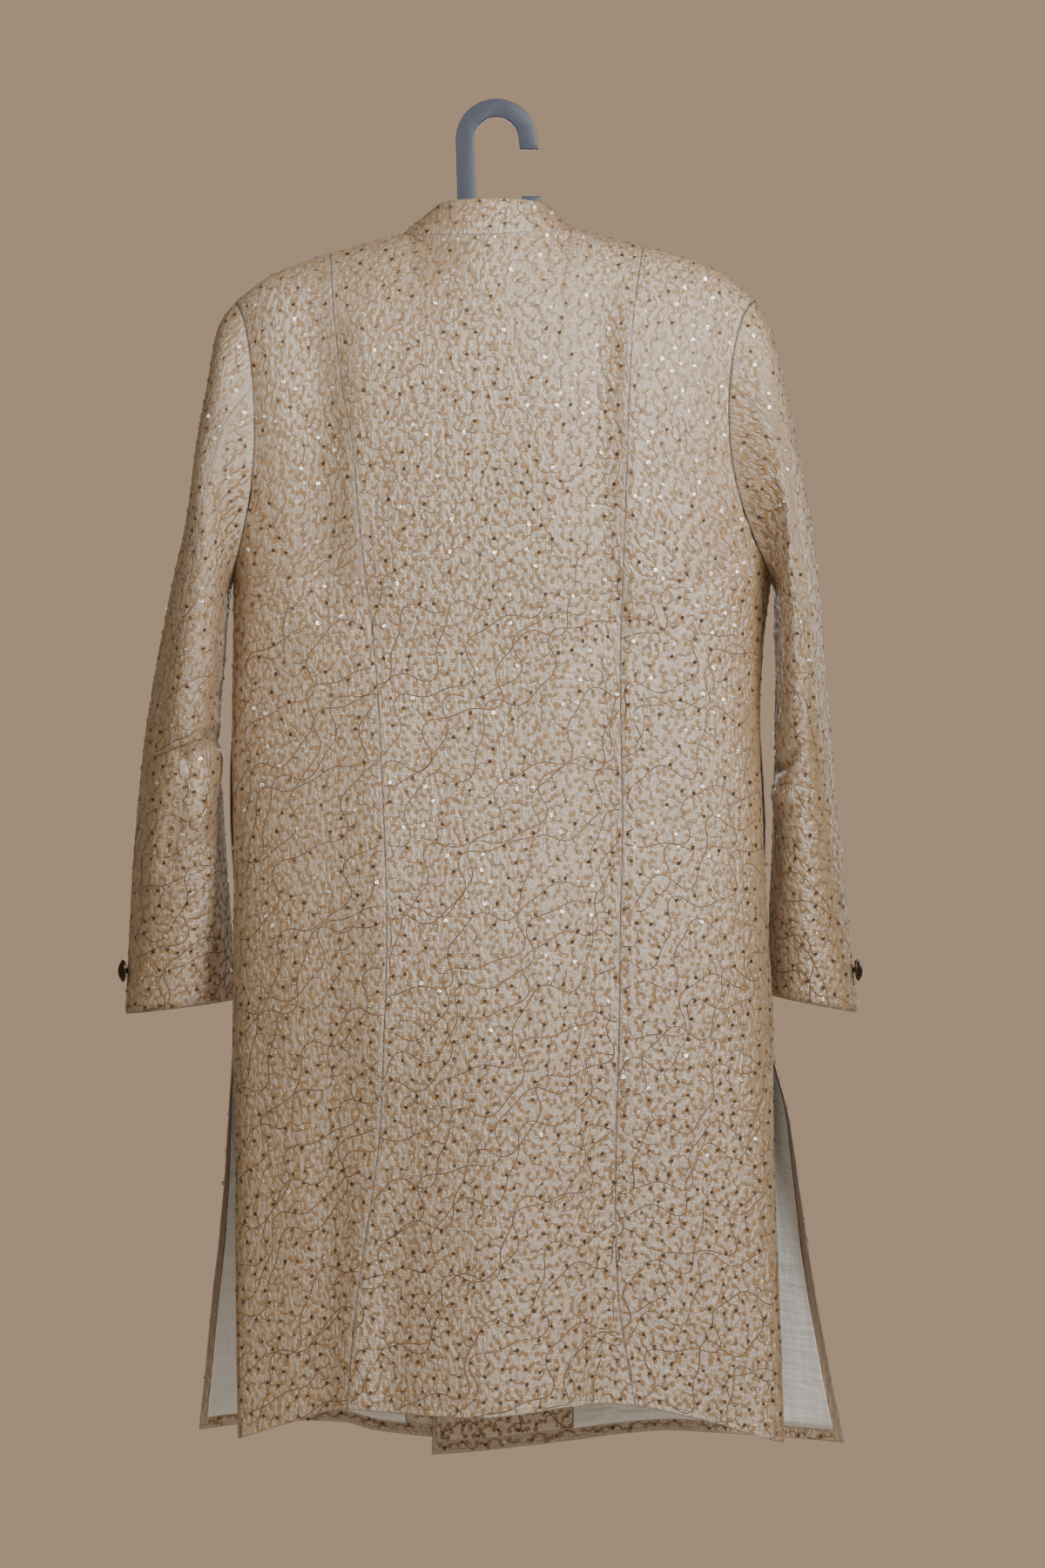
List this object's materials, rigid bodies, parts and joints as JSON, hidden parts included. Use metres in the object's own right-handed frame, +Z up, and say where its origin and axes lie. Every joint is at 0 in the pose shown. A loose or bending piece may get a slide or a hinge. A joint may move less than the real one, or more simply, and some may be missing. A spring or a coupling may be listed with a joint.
{
  "type": "sherwani coat on a moulded hanger",
  "caption": "Long stand-collar sherwani coat with side slits and an overlapped front, hung open on a moulded hanger whose flat hook goes over a rail.",
  "frame": {"origin": "the point at the top of the inside of the hook, where it bears on a rail", "axes": "+Z up, -Y the way the coat's front faces, +X the wearer's left"},
  "size_m": [0.6801, 0.1894, 1.246],
  "materials": {
    "raw_silk": "slubbed cream raw silk with vine embroidery and ring sequins",
    "facing_silk": "slubbed cream raw silk",
    "satin_lining": "grey-white satin",
    "antique_metal": "dark antique, domed",
    "slate_plastic": "satin slate blue"
  },
  "bodies": {
    "root": {"back_centre": "raw_silk", "back_side_left": "raw_silk", "back_side_right": "raw_silk", "front_left": "raw_silk", "front_right": "raw_silk", "sleeve_left_top": "raw_silk", "sleeve_left_under": "raw_silk", "sleeve_right_top": "raw_silk", "sleeve_right_under": "raw_silk", "collar": "raw_silk", "front_facing_left": "facing_silk", "front_facing_right": "facing_silk", "front_lining_left": "satin_lining", "front_lining_right": "satin_lining", "cuff_button_left": "antique_metal", "cuff_button_right": "antique_metal", "front_button_1": "antique_metal", "front_button_2": "antique_metal", "front_button_3": "antique_metal", "front_button_4": "antique_metal", "front_button_5": "antique_metal", "front_button_6": "antique_metal", "front_button_7": "antique_metal", "hanger": "slate_plastic"}
  },
  "joints": []
}
